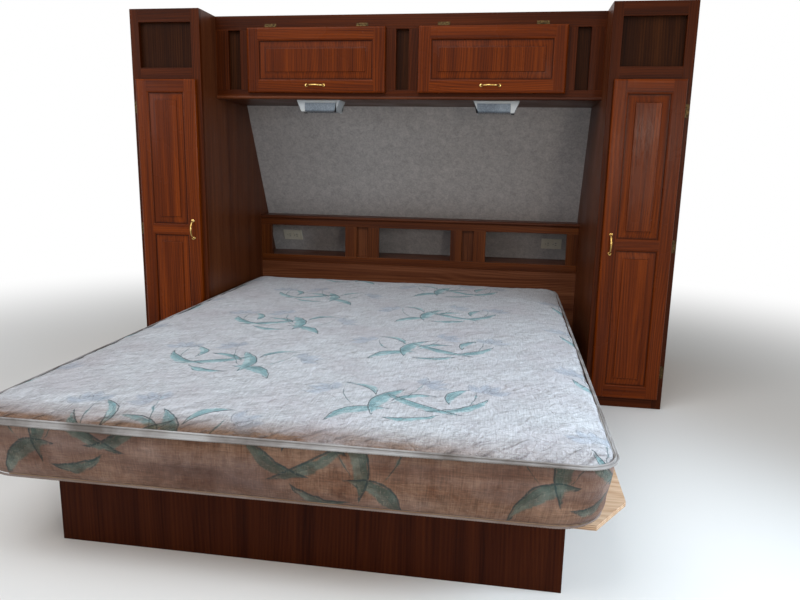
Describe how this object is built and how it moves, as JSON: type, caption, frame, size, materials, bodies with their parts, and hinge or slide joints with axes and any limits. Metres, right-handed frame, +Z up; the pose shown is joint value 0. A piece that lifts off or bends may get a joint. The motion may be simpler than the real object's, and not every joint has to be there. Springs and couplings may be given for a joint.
{
  "type": "built-in bed unit of a camper trailer",
  "caption": "Island bed with lift-up deck and mattress, headboard shelf, two flanking wardrobes and an overhead locker with top-hung doors, under a slanted front wall.",
  "frame": {"origin": "on the floor, under the middle of the unit's bounding box", "axes": "+X to the right seen from the bed's foot, +Y towards the headboard, +Z up"},
  "size_m": [2.26, 2.411, 1.585],
  "materials": {
    "oak_frame": "satin",
    "oak_door": "satin",
    "oak_panel": "satin",
    "raw_plywood": "raw",
    "vinyl_wood": "satin",
    "wall_vinyl": "matte",
    "brass": "polished",
    "ticking": "woven",
    "lamp_white": "gloss",
    "lamp_lens": "gloss",
    "switch_black": "gloss",
    "outlet_white": "gloss",
    "steel": "brushed"
  },
  "bodies": {
    "cabinetry": {"wardrobe_face_frame_left": "oak_frame", "wardrobe_face_frame_right": "oak_frame", "locker_face_frame": "oak_frame", "locker_bead": "oak_frame", "headboard_face_frame": "oak_frame", "headboard_ledge": "oak_frame", "headboard_lower_board": "oak_frame", "wardrobe_side_inner_left": "oak_panel", "wardrobe_side_inner_right": "oak_panel", "wardrobe_side_outer_left": "oak_panel", "wardrobe_side_outer_right": "oak_panel", "wardrobe_inset_left": "oak_panel", "wardrobe_inset_right": "oak_panel", "wardrobe_floor_left": "oak_panel", "wardrobe_floor_right": "oak_panel", "wardrobe_top_left": "oak_panel", "wardrobe_top_right": "oak_panel", "locker_insets": "oak_panel", "locker_bottom": "oak_panel", "locker_top": "oak_panel", "locker_divider": "oak_panel", "headboard_insets": "oak_panel", "headboard_shelf": "oak_panel", "bed_platform": "raw_plywood", "bed_base_cross": "raw_plywood", "bed_base_front": "vinyl_wood", "bed_base_side_left": "vinyl_wood", "bed_base_side_right": "vinyl_wood", "wall_lining_sloped": "wall_vinyl", "wall_lining_lower": "wall_vinyl", "wardrobe_frame_leaves_left": "brass", "wardrobe_frame_leaves_right": "brass", "locker_frame_leaves_left": "brass", "locker_frame_leaves_right": "brass", "lamp_housings": "lamp_white", "lamp_lenses": "lamp_lens", "lamp_switches": "switch_black", "outlet_left": "outlet_white", "outlet_right": "outlet_white", "bed_hinge_fixed": "steel", "wardrobe_rod_left": "steel", "wardrobe_rod_right": "steel"},
    "bed_lift": {"bed_deck": "raw_plywood", "bed_hinge_moving": "steel", "mattress": "ticking"},
    "wardrobe_door_left": {"wardrobe_door_left": "oak_door", "wardrobe_pull_left": "brass", "wardrobe_door_leaves_left": "brass"},
    "locker_door_left": {"locker_door_left": "oak_door", "locker_pull_left": "brass", "locker_door_leaves_left": "brass"},
    "wardrobe_door_right": {"wardrobe_door_right": "oak_door", "wardrobe_pull_right": "brass", "wardrobe_door_leaves_right": "brass"},
    "locker_door_right": {"locker_door_right": "oak_door", "locker_pull_right": "brass", "locker_door_leaves_right": "brass"}
  },
  "joints": [
    {"name": "bed_lift", "type": "hinge", "parent": "cabinetry", "child": "bed_lift", "pos_m": [0, 0.8445, 0.241], "axis": [-1, 0, 0], "range_deg": [0, 35]},
    {"name": "wardrobe_door_left", "type": "hinge", "parent": "cabinetry", "child": "wardrobe_door_left", "pos_m": [-1.114, 0.2805, 0.674], "axis": [0, 0, -1], "range_deg": [0, 90]},
    {"name": "wardrobe_door_right", "type": "hinge", "parent": "cabinetry", "child": "wardrobe_door_right", "pos_m": [1.114, 0.2805, 0.674], "axis": [0, 0, 1], "range_deg": [0, 90]},
    {"name": "locker_door_left", "type": "hinge", "parent": "cabinetry", "child": "locker_door_left", "pos_m": [-0.373, 0.4435, 1.538], "axis": [-1, 0, 0], "range_deg": [0, 85]},
    {"name": "locker_door_right", "type": "hinge", "parent": "cabinetry", "child": "locker_door_right", "pos_m": [0.373, 0.4435, 1.538], "axis": [-1, 0, 0], "range_deg": [0, 85]}
  ]
}
